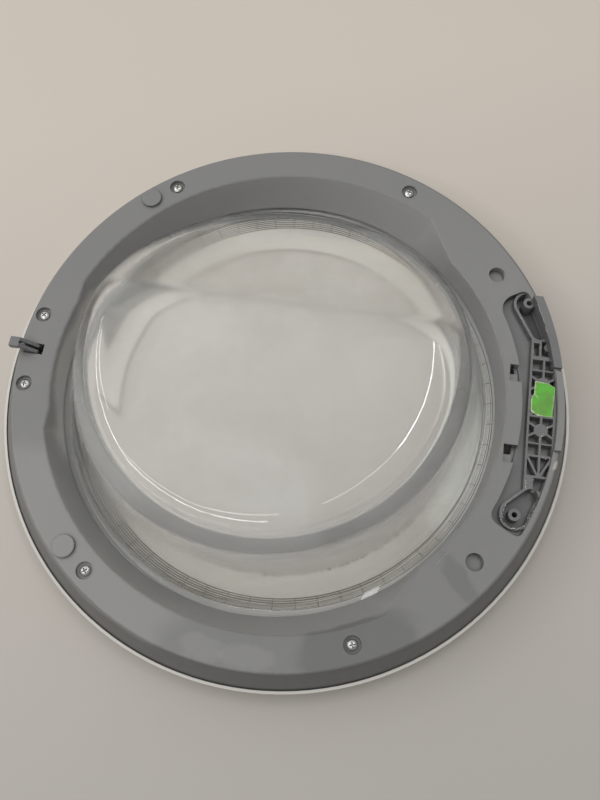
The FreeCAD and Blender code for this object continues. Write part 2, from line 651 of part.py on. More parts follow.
def make_frame_screws():
    # domed heads with a cross recess, each turned to its own angle
    crown = (SCREW_HEAD_R * 0.72, (SCREW_BRIM_H + 2 * SCREW_HEAD_H) / 3)
    head = turned([(0, 0), (SCREW_HEAD_R, 0), (SCREW_HEAD_R, SCREW_BRIM_H), (crown, (0, SCREW_HEAD_H))])
    long, wide = CROSS_L / 2, CROSS_W / 2
    deep = SCREW_HEAD_H - CROSS_D
    cross = [block(-long, long, -wide, wide, deep, LAND_Z), block(-wide, wide, -long, long, deep, LAND_Z)]
    plain = head.fuse(rod(0, 0, -SCREW_LEN, SCREW_BRIM_H / 2, SCREW_SHANK_R)).cut(cross).removeSplitter()
    screws = []
    for i, at in enumerate(on_land(SCREW_SPOTS)):
        screw = plain.copy()
        screw.rotate(V(0, 0, 0), UP, 37 * i)
        screw.translate(V(at.x, at.y, SCREW_SEAT_Z + SEAT))
        screws.append(screw)
    return Part.makeCompound(screws)


def make_buffer_plugs():
    plugs = []
    for at in on_land([PLUG_SPOT]):
        foot = LAND_Z + SEAT
        cap = rod(at.x, at.y, foot, foot + PLUG_H, PLUG_R)
        cap = cap.makeFillet(PLUG_ROUND, [e for e in cap.Edges if e.BoundBox.ZMin > foot + PLUG_H / 2])
        stem = rod(at.x, at.y, LAND_Z - PLUG_STEM_L, foot + PLUG_H / 2, PLUG_STEM_R)
        plugs.append(cap.fuse(stem).removeSplitter())
    return Part.makeCompound(plugs)


def make_hinge_label():
    corners = [V(CELL_X0 + x, HINGE_Y + y, RIB_Z + SEAT) for x, y in LABEL_EDGE]
    return prism(corners, V(0, 0, LABEL_T))


NODES = {
    "front_frame": make_front_frame(),
    "inner_frame": make_inner_frame(),
    "door_glass": make_door_glass(),
    "hinge_bracket": make_hinge_bracket(),
    "latch_hook": make_latch_hook(),
    "latch_pin": make_latch_pin(),
    "latch_spring": make_latch_spring(),
    "frame_screws": make_frame_screws(),
    "buffer_plugs": make_buffer_plugs(),
    "hinge_label": make_hinge_label(),
}
os.makedirs("parts", exist_ok=True)
for name, shape in NODES.items():
    # the shared origin lies on the axis of the rim
    shape.translate(V(-RIM_X, 0, 0))
    print(name, shape.isValid(), len(shape.Solids))
    shape.exportStep("parts/%s.step" % name)
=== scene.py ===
"""Front-loader door laid on its front face: finishes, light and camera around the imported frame. Metres."""
import math
from collections import namedtuple

import bmesh
import bpy
import numpy as np
from mathutils import Matrix, Vector, noise


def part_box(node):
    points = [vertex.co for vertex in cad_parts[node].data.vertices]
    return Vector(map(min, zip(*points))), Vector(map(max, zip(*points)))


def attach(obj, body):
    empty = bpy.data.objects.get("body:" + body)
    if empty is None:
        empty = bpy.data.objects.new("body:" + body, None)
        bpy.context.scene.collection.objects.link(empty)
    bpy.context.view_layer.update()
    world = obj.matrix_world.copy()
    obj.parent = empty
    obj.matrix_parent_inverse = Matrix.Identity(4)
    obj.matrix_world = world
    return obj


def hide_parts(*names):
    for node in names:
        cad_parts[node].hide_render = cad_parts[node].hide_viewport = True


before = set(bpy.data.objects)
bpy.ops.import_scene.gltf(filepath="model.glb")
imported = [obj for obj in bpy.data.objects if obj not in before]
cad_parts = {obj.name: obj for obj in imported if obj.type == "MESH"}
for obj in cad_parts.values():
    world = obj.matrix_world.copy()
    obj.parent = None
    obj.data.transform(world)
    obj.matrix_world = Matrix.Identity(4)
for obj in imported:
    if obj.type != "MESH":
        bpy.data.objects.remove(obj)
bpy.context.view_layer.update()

MM = 0.001

# Boxes of two solids, read from the frame
GLASS_LOW, GLASS_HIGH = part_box("door_glass")
LABEL_LOW, LABEL_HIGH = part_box("hinge_label")

# Camera: place, turn and lens that match the photograph's frame, then the sensor's width and the near limit
CAMERA_AT = (0.0626, -0.1978, 0.5958)
CAMERA_TURN_DEG = (19.047, 1.803, 8.821)
CAMERA_LENS_MM = 33.6
CAMERA_SENSOR_MM = 36.0
CAMERA_NEAR = 0.01

# Work meshes: gap that is welded, bend that counts as flat, bend that stays a sharp edge on a smooth skin
WELD = 0.002 * MM
FLAT_DEG = 0.4
SKIN_SHARP_DEG = 50

# Glass bowl, as the solid has it
BOWL_FOOT_R = 170.0 * MM
BOWL_SLOPE = 0.322
BOWL_ROUND = 34.0 * MM
BOWL_ROUND_IN = 10.0 * MM
CREASE_ROUND = 45.0 * MM
CREASE_Y = 27.0 * MM
SLANT_FOOT = 14.62 * MM
GLASS_WALL = 8.0 * MM
FLANGE_T = 5.0 * MM

# Where the glass is softer than the solid: its rim, its foot and the inside round toward the sloping side
FLANGE_EDGE = 0.8 * MM
FOOT_FILLET = 3.0 * MM
BOWL_ROUND_TOP = 26.0 * MM
ROUND_TURN_Y = (-35.0 * MM, 45.0 * MM)

# Mesh of the bowl: points round it, rows on its steep and flat part, tilts where these end, steps of the search
BOWL_TURNS = 240
BOWL_STEEP_ROWS = 120
BOWL_FLAT_ROWS = 18
STEEP_TILT_DEG = 56
LAST_TILT_DEG = 88.5
SKIN_HALVINGS = 40

# Film outside the shoulder, partly lime and partly painted shade for the grey band it shows: radii where it
# starts, is full and ends, and the leaning y span it thins over
HAZE_SHADE_R = (128.0 * MM, 134.0 * MM, 141.0 * MM, 148.0 * MM)
HAZE_SHADE_Y = (-60.0 * MM, 20.0 * MM)
HAZE_SHADE_TURN = 0.2
HAZE_SHADE_SHARE = 0.45

# Lime inside the bowl: the roughness it ends at, and the heights between which it grows
LIME_BLUR = 0.16
LIME_Z = (48.0 * MM, 76.0 * MM)

# Grooved part of the lip under the glass: rings stepped along its slope, crossed by fine ticks
LIP_EDGE_R = 139.8 * MM
LIP_EDGE_Z = 3.6 * MM
LIP_RISE = 0.2421
GROOVE_R0 = 157.5 * MM
GROOVE_R1 = 170.5 * MM
GROOVE_COUNT = 9
GROOVE_SECTION = 0.38 * MM
TICK_COUNT = 60
TICK_SECTION = 0.25 * MM
RING_STEPS = 180
SECTION_SIDES = 6

# Dark line along the inner edge of the lip: angles of its points, half thickness in millimetres
EDGE_LINE_DEG = range(248, 334, 2)
EDGE_LINE_MM = 0.6

# Room: a bright ceiling, brighter to the far left, with tube lamps, three of which have a twin
# Each lamp has a name, its two ends and its brightness
ROOM_BRIGHT_SIDE = (-0.45, 0.35, 0.82)
ROOM_DIM = 0.3
ROOM_BRIGHT = 1.38
ROOM_FALL = 2.0
STRIP_WIDTH = 0.06
STRIPS = [
    ("tube_right", (0.56, 0.3, 2.12), (0.5, 1.25, 2.12), 28.0),
    ("tube_dim", (0.36, -0.45, 2.12), (0.56, 0.3, 2.12), 5.5),
    ("tube_left", (-2.15, -0.95, 2.12), (-2.45, 1.25, 2.12), 17.0),
    ("tube_corner", (-0.9, -1.5, 2.12), (-2.15, -0.95, 2.12), 16.0),
    ("tube_near", (0.05, -1.42, 2.12), (-0.9, -1.5, 2.12), 16.0),
    ("twin_left", (-1.6, 0.15, 2.12), (-2.0, 1.0, 2.12), 10.0),
    ("twin_corner", (-0.75, -1.02, 2.12), (-2.0, -0.66, 2.12), 8.0),
    ("twin_near", (0.07, -0.72, 2.12), (-0.75, -1.02, 2.12), 8.0),
]

# Marks on a moulding: place, half size and ragged edge in millimetres, turn in degrees, share, gloss change
Mark = namedtuple("Mark", "at half turn tint share shine ragged")
LAND_MARKS = [
    Mark((-25, -204, 47), (18, 10, 6), -10, "#9C9B99", 0.2, 0.0, 9),
    Mark((9, -206, 47), (22, 10, 6), 2, "#9C9B99", 0.2, 0.0, 9),
    # Wide paler patch on the lower left of the land: painted sheen
    Mark((-125, -150, 47), (110, 60, 8), -45, "#94938F", 0.45, 0.0, 40),
    Mark((81, -187, 47), (52, 24, 8), 22, "#5F5F5E", 0.7, 0.05, 25),
    Mark((149, -130, 47), (9, 21, 6), 40, "#5C5C5B", 0.5, 0.0, 9),
    # Paler inner wall on the left: painted light
    Mark((-178, 10, 18), (38, 120, 24), 0, "#BDBBB6", 0.9, 0.0, 40),
    Mark((209, 69, 52), (14, 36, 9), 15, "#666665", 0.85, 0.0, 12),
    Mark((213.5, -37, 47), (1.8, 4.5, 3), -20, "#B5B4AA", 0.75, 0.1, 2.5),
]
LIP_MARKS = [
    Mark((0, 0, 12), (178, 178, 178), 0, "#CFC8BE", 1.0, 0.3, 0),
    # Paler lip on the right side: painted light
    Mark((170, 10, 10), (60, 130, 30), 0, "#EDEAE3", 0.9, 0.0, 30),
]

# Painted light and shade by how a face is turned: the lighter and the darker tint, how upright a normal is
# where the shading starts, and the span it grows over
PAINTED_LIGHT_TINT = "#8B8A88"
PAINTED_SHADE_TINT = "#626160"
SIDE_SHADE_FROM = 0.95
SIDE_SHADE_SPAN = 0.4

# Painted shade in nooks of the plastic, found by occlusion: its tint, how near the walls are, its share
NOOK_SHADE = "#454443"
NOOK_REACH = 2.5 * MM
NOOK_SHARE = 0.6

# Floors of the lattice cells in the hinge seat, which take painted light: below this height, beyond this x,
# between these y, this level
CELL_DEEP_Z = 41.0 * MM
CELL_X0 = 190.0 * MM
CELL_Y = (-50.0 * MM, 60.0 * MM)
FLOOR_UPRIGHT = 0.9

# Worn, whitened edges of the hinge seat and painted highlights on its block, ribs, hub, slots and boss and on
# the land's inner edge: half thickness, then points, all in mm
WEAR_AND_GLINTS = [
    (0.70, [(175.8, -80.0, 44.2), (176.2, -82.2, 44.3), (178.6, -85.2, 42.0), (183.9, -87.8, 42.1)]),
    (0.70, [(183.9, -87.8, 42.1), (188.5, -88.2, 43.2), (193.4, -85.8, 43.0), (196.4, -82.2, 43.3)]),
    (0.60, [(196.7, -81.4, 43.2), (198.4, -77.0, 42.3), (199.5, -74.3, 44.2), (202.2, -67.3, 44.7)]),
    # painted highlight along the cup's inner edge
    (0.40, [(201.2, -66.0, 42.8), (196.0, -79.0, 41.8)]),
    (0.40, [(176.8, -78.6, 44.6), (179.5, -70.6, 45.0), (186.0, -63.7, 45.0)]),
    # painted highlights on the raised block, the ribs and the star's hub
    (0.60, [(192.8, -51.2, 45.0), (193.2, -57.8, 45.0)]),
    (0.50, [(204.5, -31.8, 45.0), (206.1, -32.4, 45.0)]),
    (0.40, [(198.1, -49.2, 45.0), (198.4, -50.4, 45.0)]),
    (0.55, [(206.6, -6.6, 45.0), (206.9, -10.8, 45.0)]),
    (0.40, [(203.9, -12.7, 45.0), (202.2, -15.7, 45.0)]),
    (0.35, [(201.9, -17.0, 45.0), (200.2, -20.0, 45.0)]),
    # worn, whitened edges of the ear and the upper cup
    (0.40, [(192.2, 89.4, 55.0), (197.4, 77.5, 53.7), (201.8, 65.4, 52.3)]),
    (0.35, [(176.4, 97.3, 45.0), (177.5, 89.0, 45.0), (183.0, 79.8, 45.0), (186.0, 74.8, 45.0)]),
    # painted highlights on the slot edges and the boss edge
    (0.45, [(192.5, 58.6, 45.0), (192.5, 52.1, 45.0)]),
    (0.35, [(197.6, 58.9, 45.0), (197.7, 55.0, 45.0)]),
    (0.40, [(189.3, 98.0, 47.4), (190.7, 96.6, 47.4), (191.1, 94.4, 47.4)]),
    # painted highlight along the land's inner edge
    (0.22, [(132.8, -122.6, 47.0), (140.3, -113.2, 47.0)]),
]

# Torn fold inside the label and the sizes of its fray
LABEL_FOLD = [(195.4, 23.0), (194.9, 19.0), (198.0, 15.7)]
LABEL_STEP = 0.6 * MM
LABEL_WAVE = 0.25 * MM
LABEL_FRAY = 0.9 * MM
LABEL_FOLD_W = 0.5 * MM


def srgb(code):
    """Linear colour of an sRGB hex code."""
    parts = [int(code[i : i + 2], 16) / 255 for i in (1, 3, 5)]
    return tuple(c / 12.92 if c <= 0.04045 else ((c + 0.055) / 1.055) ** 2.4 for c in parts) + (1.0,)


def add(tree, kind, inputs=None, **settings):
    """A node with its settings; each input is a value or the socket that feeds it."""
    node = tree.nodes.new(kind)
    for name, value in settings.items():
        setattr(node, name, value)
    for key, value in (inputs or {}).items():
        if isinstance(value, bpy.types.NodeSocket):
            tree.links.new(value, node.inputs[key])
        else:
            node.inputs[key].default_value = value
    return node


def new_material(name):
    """An empty material with its tree, output and Object coordinates."""
    material = bpy.data.materials.new(name)
    material.use_nodes = True
    tree = material.node_tree
    tree.nodes.clear()
    out = add(tree, "ShaderNodeOutputMaterial")
    place = add(tree, "ShaderNodeTexCoord").outputs["Object"]
    return material, tree, out, place


def speckle(tree, place, size_mm, detail, **more):
    """Noise socket whose features are about size_mm millimetres across."""
    inputs = {"Vector": place, "Scale": 1 / (size_mm * MM), "Detail": detail, **more}
    return add(tree, "ShaderNodeTexNoise", inputs).outputs["Fac"]


def blend(tree, share, first, second):
    """Colour socket that goes from the first colour to the second with the share."""
    return add(tree, "ShaderNodeMix", {0: share, 6: first, 7: second}, data_type="RGBA").outputs[2]


def mark_share(tree, place, mark):
    """Socket that is the mark's share inside its ellipsoid and falls to nothing at its edge."""
    inside = add(
        tree,
        "ShaderNodeMapping",
        {
            "Vector": place,
            "Location": [c * MM for c in mark.at],
            "Rotation": (0, 0, math.radians(mark.turn)),
            "Scale": [h * MM for h in mark.half],
        },
        vector_type="TEXTURE",
    )
    length = add(tree, "ShaderNodeVectorMath", {0: inside.outputs["Vector"]}, operation="LENGTH")
    far = length.outputs["Value"]
    blur = {"From Min": 1.0, "From Max": 0.97, "To Max": mark.share}
    if mark.ragged:
        shaken = {0: speckle(tree, place, mark.ragged, 3.0), 1: 0.9, 2: far}
        far = add(tree, "ShaderNodeMath", shaken, operation="MULTIPLY_ADD").outputs["Value"]
        blur.update({"From Min": 1.5, "From Max": 1.1})
    blur["Value"] = far
    return add(tree, "ShaderNodeMapRange", blur, interpolation_type="SMOOTHSTEP").outputs["Result"]


def moulded_plastic(name, light, dark, rough, grain_mm, grain_depth_mm, marks=()):
    """Injection-moulded ABS: faintly clouded colour, fine grain, satin gloss, marks of use and of painted light
    and shade, painted light and shade by how a face is turned, painted shade in nooks.
    """
    material, tree, out, place = new_material(name)
    colour = blend(tree, speckle(tree, place, 60, 4.0), srgb(light), srgb(dark))
    painted_light = add(tree, "ShaderNodeAttribute", attribute_name="painted_light").outputs["Fac"]
    # Painted shade: occlusion darkens the colour in nooks and corners
    nook = add(tree, "ShaderNodeAmbientOcclusion", {"Distance": NOOK_REACH}, samples=4).outputs["AO"]
    span = {"Value": nook, "From Min": 0.9, "From Max": 0.45, "To Max": NOOK_SHARE}
    nook_shade = add(tree, "ShaderNodeMapRange", span).outputs["Result"]
    # Painted light and shade: faces marked 1 are lightened, faces marked -1 darkened
    for sign, tint in ((1.0, PAINTED_LIGHT_TINT), (-1.0, PAINTED_SHADE_TINT)):
        part = add(tree, "ShaderNodeMath", {0: painted_light, 1: sign}, operation="MULTIPLY", use_clamp=True)
        colour = blend(tree, part.outputs[0], colour, srgb(tint))
    scuff = speckle(tree, place, 9, 6.0, Roughness=0.65)
    span = {"Value": scuff, "To Min": rough - 0.07, "To Max": rough + 0.09}
    gloss = add(tree, "ShaderNodeMapRange", span).outputs["Result"]
    for mark in marks:
        share = mark_share(tree, place, mark)
        colour = blend(tree, share, colour, srgb(mark.tint))
        change = {0: share, 1: mark.shine, 2: gloss}
        gloss = add(tree, "ShaderNodeMath", change, operation="MULTIPLY_ADD").outputs[0]
    colour = blend(tree, nook_shade, colour, srgb(NOOK_SHADE))
    grain = speckle(tree, place, grain_mm, 2.0)
    bump = add(tree, "ShaderNodeBump", {"Height": grain, "Distance": grain_depth_mm * MM})
    skin = {"Base Color": colour, "Roughness": gloss, "Normal": bump.outputs["Normal"], "IOR": 1.53}
    shader = add(tree, "ShaderNodeBsdfPrincipled", skin)
    tree.links.new(shader.outputs["BSDF"], out.inputs["Surface"])
    return material


def bowl_glass():
    """Pressed soda-lime glass: clear, dulled inside by lime, under a cloudy film, greyest on its shoulder,
    where the film is partly painted shade.
    """
    material, tree, out, place = new_material("pressed_soda_lime_glass")
    dull = add(tree, "ShaderNodeAttribute", attribute_name="dull").outputs["Fac"]
    pane = {"Base Color": srgb("#EDEFEF"), "Roughness": dull, "IOR": 1.52, "Transmission Weight": 1.0}
    clear = add(tree, "ShaderNodeBsdfPrincipled", pane)
    cloud = speckle(tree, place, 70, 5.0, Distortion=0.8)
    span = {"Value": cloud, "From Min": 0.38, "From Max": 0.66, "To Min": 0.0, "To Max": 0.06}
    share = add(tree, "ShaderNodeMapRange", span).outputs["Result"]
    # The shoulder's film is partly lime and partly painted shade, greyer where it is thicker
    haze_and_shade = add(tree, "ShaderNodeAttribute", attribute_name="haze_and_shade").outputs["Fac"]
    film = add(tree, "ShaderNodeMath", {0: share, 1: haze_and_shade}, operation="ADD").outputs[0]
    film_and_shade = add(tree, "ShaderNodeBsdfDiffuse", {"Color": blend(tree, haze_and_shade, srgb("#E6E6E4"), srgb("#8E8D89"))})
    both = {0: film, 1: clear.outputs["BSDF"], 2: film_and_shade.outputs["BSDF"]}
    hazed_and_shaded = add(tree, "ShaderNodeMixShader", both)
    shade = add(tree, "ShaderNodeBsdfTransparent", {"Color": srgb("#F0F0F0")})
    path = add(tree, "ShaderNodeLightPath")
    ways = {0: path.outputs["Is Shadow Ray"], 1: hazed_and_shaded.outputs["Shader"], 2: shade.outputs["BSDF"]}
    mixed = add(tree, "ShaderNodeMixShader", ways)
    tree.links.new(mixed.outputs["Shader"], out.inputs["Surface"])
    return material


def zinc_steel():
    """Bright zinc on steel: a soft metal shine, faintly clouded, with painted shade in the drive recess."""
    material, tree, out, place = new_material("zinc_plated_steel")
    cloud = speckle(tree, place, 2.5, 4.0)
    zinc = blend(tree, cloud, srgb("#DADAD8"), srgb("#A9A8A2"))
    # Painted shade: occlusion darkens the drive recess
    nook = add(tree, "ShaderNodeAmbientOcclusion", {"Distance": 1.5 * MM}, samples=4).outputs["AO"]
    span = {"Value": nook, "From Min": 0.5, "From Max": 0.9}
    unshaded = add(tree, "ShaderNodeMapRange", span).outputs["Result"]
    colour = blend(tree, unshaded, srgb("#403F3C"), zinc)
    rough = add(tree, "ShaderNodeMapRange", {"Value": cloud, "To Min": 0.2, "To Max": 0.42})
    skin = {"Base Color": colour, "Metallic": 1.0, "Roughness": rough.outputs["Result"]}
    shader = add(tree, "ShaderNodeBsdfPrincipled", skin)
    tree.links.new(shader.outputs["BSDF"], out.inputs["Surface"])
    return material


def label_film():
    """Fluorescent paper sticker: bright green face with olive rubs, pale torn fibre where it has frayed."""
    material, tree, out, place = new_material("fluorescent_paper")
    fray = add(tree, "ShaderNodeAttribute", attribute_name="fray").outputs["Fac"]
    span = {"Value": speckle(tree, place, 9, 4.0, Distortion=0.6), "From Min": 0.4, "From Max": 0.62}
    worn = add(tree, "ShaderNodeMapRange", span).outputs["Result"]
    face = blend(tree, worn, srgb("#5BB036"), srgb("#61953C"))
    colour = blend(tree, fray, face, srgb("#BDC4A6"))
    shader = add(tree, "ShaderNodeBsdfPrincipled", {"Base Color": colour, "Roughness": 0.62})
    tree.links.new(shader.outputs["BSDF"], out.inputs["Surface"])
    return material


def table_top():
    """Pale laminate that the door lies on, warmer and lighter toward its far side: painted falloff of the
    room's light.
    """
    material, tree, out, place = new_material("pale_laminate")
    slope = add(tree, "ShaderNodeVectorMath", {0: place, 1: (-0.35, 1.0, 0.0)}, operation="DOT_PRODUCT")
    drift = {0: speckle(tree, place, 400, 3.0), 1: 0.12, 2: slope.outputs["Value"]}
    far = add(tree, "ShaderNodeMath", drift, operation="MULTIPLY_ADD").outputs["Value"]
    span = {"Value": far, "From Min": -0.4, "From Max": 0.4}
    share = add(tree, "ShaderNodeMapRange", span).outputs["Result"]
    colour = blend(tree, share, srgb("#A6A29E"), srgb("#C9C0B5"))
    shader = add(tree, "ShaderNodeBsdfPrincipled", {"Base Color": colour, "Roughness": 0.55})
    tree.links.new(shader.outputs["BSDF"], out.inputs["Surface"])
    return material


def link(name, mesh, material):
    """A new object in the scene that shows the mesh in one material."""
    piece = bpy.data.objects.new(name, mesh)
    mesh.materials.clear()
    mesh.materials.append(material)
    bpy.context.scene.collection.objects.link(piece)
    return piece


def belongs(piece, body, slot, *nodes):
    """The piece moves with the body and stands for the nodes, which it hides. The slot is not used."""
    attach(piece, body)
    if nodes:
        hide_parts(*nodes)


def joined_mesh(node, name):
    """Work mesh of a solid with its loose triangles joined and its flat faces made whole."""
    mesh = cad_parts[node].data.copy()
    mesh.name = name
    work = bmesh.new()
    work.from_mesh(mesh)
    bmesh.ops.remove_doubles(work, verts=work.verts, dist=WELD)
    bmesh.ops.dissolve_limit(work, angle_limit=math.radians(FLAT_DEG), verts=work.verts, edges=work.edges)
    return mesh, work


def side_light_and_shade(face):
    """Painted light and shade by a face's turn: 1 lightens the ring's inner wall, -1 darkens its outer slope.
    """
    aside = face.calc_center_median().xy.normalized().dot(face.normal.xy)
    steep = max(0.0, min(1.0, (SIDE_SHADE_FROM - face.normal.z) / SIDE_SHADE_SPAN))
    return -steep * math.copysign(1.0, aside)


def cell_floor_light(face):
    """Painted light on the up-facing floors of the lattice cells."""
    spot = face.calc_center_median()
    in_lattice = spot.x > CELL_X0 and CELL_Y[0] < spot.y < CELL_Y[1]
    is_floor = face.normal.z > FLOOR_UPRIGHT and spot.z < CELL_DEEP_Z
    return 1.0 if in_lattice and is_floor else 0.0


def dressed(node, name, body, slot, material, round_mm=0.0, sharp_deg=32, light_of=None):
    """A smooth-shaded copy of a solid, its hard edges broken by a small round."""
    mesh, work = joined_mesh(node, name)
    # Painted light and shade per face, from the given function
    painted_light = work.faces.layers.float.new("painted_light")
    for face in work.faces:
        face.smooth = True
        face[painted_light] = light_of(face) if light_of else 0.0
    work.to_mesh(mesh)
    work.free()
    mesh.set_sharp_from_angle(angle=math.radians(sharp_deg))
    piece = link(name, mesh, material)
    if round_mm:
        bevel = piece.modifiers.new("edge_round", "BEVEL")
        bevel.width = round_mm * MM
        bevel.segments = 2
        bevel.limit_method = "ANGLE"
        bevel.angle_limit = math.radians(sharp_deg)
        bevel.use_clamp_overlap = True
    normals = piece.modifiers.new("face_weight", "WEIGHTED_NORMAL")
    normals.keep_sharp = True
    belongs(piece, body, slot, node)


def bowl_reach(x, y, z, inset, bends):
    """Distance outside the bowl, from its own axis.

    The inset moves the skin inwards. The bends are its shoulder's rounds at the low and at the sloping side.
    """
    top = GLASS_HIGH.z
    foot = GLASS_LOW.z + FLANGE_T
    lean = math.hypot(1, BOWL_SLOPE)
    fall = (top - foot - SLANT_FOOT) / (BOWL_FOOT_R - BOWL_SLOPE * SLANT_FOOT - CREASE_Y)
    tilt = math.hypot(1, fall)
    radius = np.hypot(x, y) + 1e-9
    wall = (radius - BOWL_FOOT_R + BOWL_SLOPE * (z - foot)) / lean + inset
    level = z - top + inset
    slant = (z - top + fall * (y - CREASE_Y)) / tilt + inset
    # The crease is a soft maximum as wide as its round
    soft = 4 * (CREASE_ROUND - inset) * (1 - math.cos(math.atan(fall) / 2))
    share = np.clip(0.5 + 0.5 * (slant - level) / soft, 0, 1)
    lid = level * (1 - share) + slant * share + soft * share * (1 - share)
    lid_y = share * fall / tilt
    lid_z = 1 - share + share / tilt
    turn = (y / radius * lid_y + BOWL_SLOPE * lid_z) / lean / np.hypot(lid_y, lid_z)
    # The shoulder is an exact round between the wall and the lid
    share = np.clip((y - ROUND_TURN_Y[0]) / (ROUND_TURN_Y[1] - ROUND_TURN_Y[0]), 0, 1)
    bend = bends[0] + (bends[1] - bends[0]) * share * share * (3 - 2 * share)
    a = wall + bend
    b = lid + bend
    corner = (a > b * turn) & (b > a * turn)
    rounded = np.sqrt(np.maximum(a * a + b * b - 2 * a * b * turn, 0) / (1 - turn * turn)) - bend
    return np.where(corner, rounded, np.maximum(wall, lid))


def bowl_rows(base_z, inset, bends, tilts, turns):
    """Rings of surface points seen from the axis at base_z, one ring for each tilt."""
    tilt, turn = np.meshgrid(tilts, turns, indexing="ij")
    aim = np.stack([np.cos(tilt) * np.cos(turn), np.cos(tilt) * np.sin(turn), np.sin(tilt)], -1)
    near = np.zeros(tilt.shape)
    away = np.full(tilt.shape, 2 * BOWL_FOOT_R)
    for _ in range(SKIN_HALVINGS):
        middle = (near + away) / 2
        point = aim * middle[..., None]
        outside = bowl_reach(point[..., 0], point[..., 1], point[..., 2] + base_z, inset, bends) > 0
        away = np.where(outside, middle, away)
        near = np.where(outside, near, middle)
    return aim * away[..., None] + np.array([0, 0, base_z])


def plain_ring(radius, z, turns):
    """Points of a level circle round the axis."""
    return np.stack([radius * np.cos(turns), radius * np.sin(turns), np.full(turns.shape, z)], -1)


def glass_mesh():
    """The bowl as one closed skin: outside from the crown down, round the flange, then up the inside."""
    turns = np.linspace(0, 2 * math.pi, BOWL_TURNS, endpoint=False)
    steep = np.linspace(0, math.radians(STEEP_TILT_DEG), BOWL_STEEP_ROWS)
    flat = np.linspace(math.radians(STEEP_TILT_DEG), math.radians(LAST_TILT_DEG), BOWL_FLAT_ROWS)[1:]
    tilts = np.concatenate([steep, flat])
    flange_top = GLASS_LOW.z + FLANGE_T
    flange_low = GLASS_LOW.z
    flange_r = (GLASS_HIGH.x - GLASS_LOW.x) / 2
    outside = bowl_rows(flange_top, 0.0, (BOWL_ROUND, BOWL_ROUND), tilts, turns)
    inside = bowl_rows(flange_low, GLASS_WALL, (BOWL_ROUND_IN, BOWL_ROUND_TOP), tilts, turns)
    outside = outside[outside[:, 0, 2] > flange_top + FOOT_FILLET]
    rows = list(outside[::-1])
    # Small fillet at the foot, then the flange with its fire-polished rim
    wall = rows[-1]
    land = plain_ring(BOWL_FOOT_R + FOOT_FILLET, flange_top, turns)
    corner = plain_ring(BOWL_FOOT_R, flange_top, turns)
    for t in (0.25, 0.5, 0.75, 1.0):
        rows.append(wall * (1 - t) ** 2 + corner * 2 * t * (1 - t) + land * t * t)
    quarter = np.linspace(0, math.pi / 2, 5)
    for a in quarter:
        r = flange_r - FLANGE_EDGE * (1 - math.sin(a))
        rows.append(plain_ring(r, flange_top - FLANGE_EDGE * (1 - math.cos(a)), turns))
    for a in quarter:
        r = flange_r - FLANGE_EDGE * (1 - math.cos(a))
        rows.append(plain_ring(r, flange_low + FLANGE_EDGE * (1 - math.sin(a)), turns))
    clear_from = len(outside) * len(turns)
    rows += list(inside)
    points = [tuple(p) for row in rows for p in row]
    count = len(turns)
    faces = []
    for i in range(len(rows) - 1):
        for j in range(count):
            k = (j + 1) % count
            faces.append((i * count + j, (i + 1) * count + j, (i + 1) * count + k, i * count + k))
    crown = len(points)
    points.append((0, 0, GLASS_HIGH.z))
    points.append((0, 0, GLASS_HIGH.z - GLASS_WALL))
    last = (len(rows) - 1) * count
    for j in range(count):
        k = (j + 1) % count
        faces.append((crown, j, k))
        faces.append((crown + 1, last + k, last + j))
    mesh = bpy.data.meshes.new("door_bowl")
    mesh.from_pydata(points, [], faces)
    spots = np.array(points)
    # The film on the outer shoulder is partly painted shade for its grey band
    haze_and_shade = np.interp(np.hypot(spots[:, 0], spots[:, 1]), HAZE_SHADE_R, (0, 1, 1, 0))
    haze_and_shade *= np.interp(spots[:, 1] - HAZE_SHADE_TURN * spots[:, 0], HAZE_SHADE_Y, (HAZE_SHADE_SHARE, 0))
    haze_and_shade[clear_from:] = 0
    dull = np.interp(spots[:, 2], LIME_Z, (0, LIME_BLUR))
    dull[:clear_from] = 0
    for label, values in (("haze_and_shade", haze_and_shade), ("dull", dull)):
        mesh.attributes.new(label, "FLOAT", "POINT").data.foreach_set("value", values)
    mesh.transform(Matrix.Translation(((GLASS_LOW.x + GLASS_HIGH.x) / 2, 0, 0)))
    work = bmesh.new()
    work.from_mesh(mesh)
    bmesh.ops.recalc_face_normals(work, faces=work.faces)
    for face in work.faces:
        face.smooth = True
    work.to_mesh(mesh)
    work.free()
    mesh.set_sharp_from_angle(angle=math.radians(SKIN_SHARP_DEG))
    return mesh


def off_path(point, path):
    """Distance of a point from a run of straight pieces."""
    best = math.inf
    for a, b in zip(path, path[1:]):
        share = max(0.0, min(1.0, (point - a).dot(b - a) / (b - a).length_squared))
        best = min(best, (point - a - (b - a) * share).length)
    return best


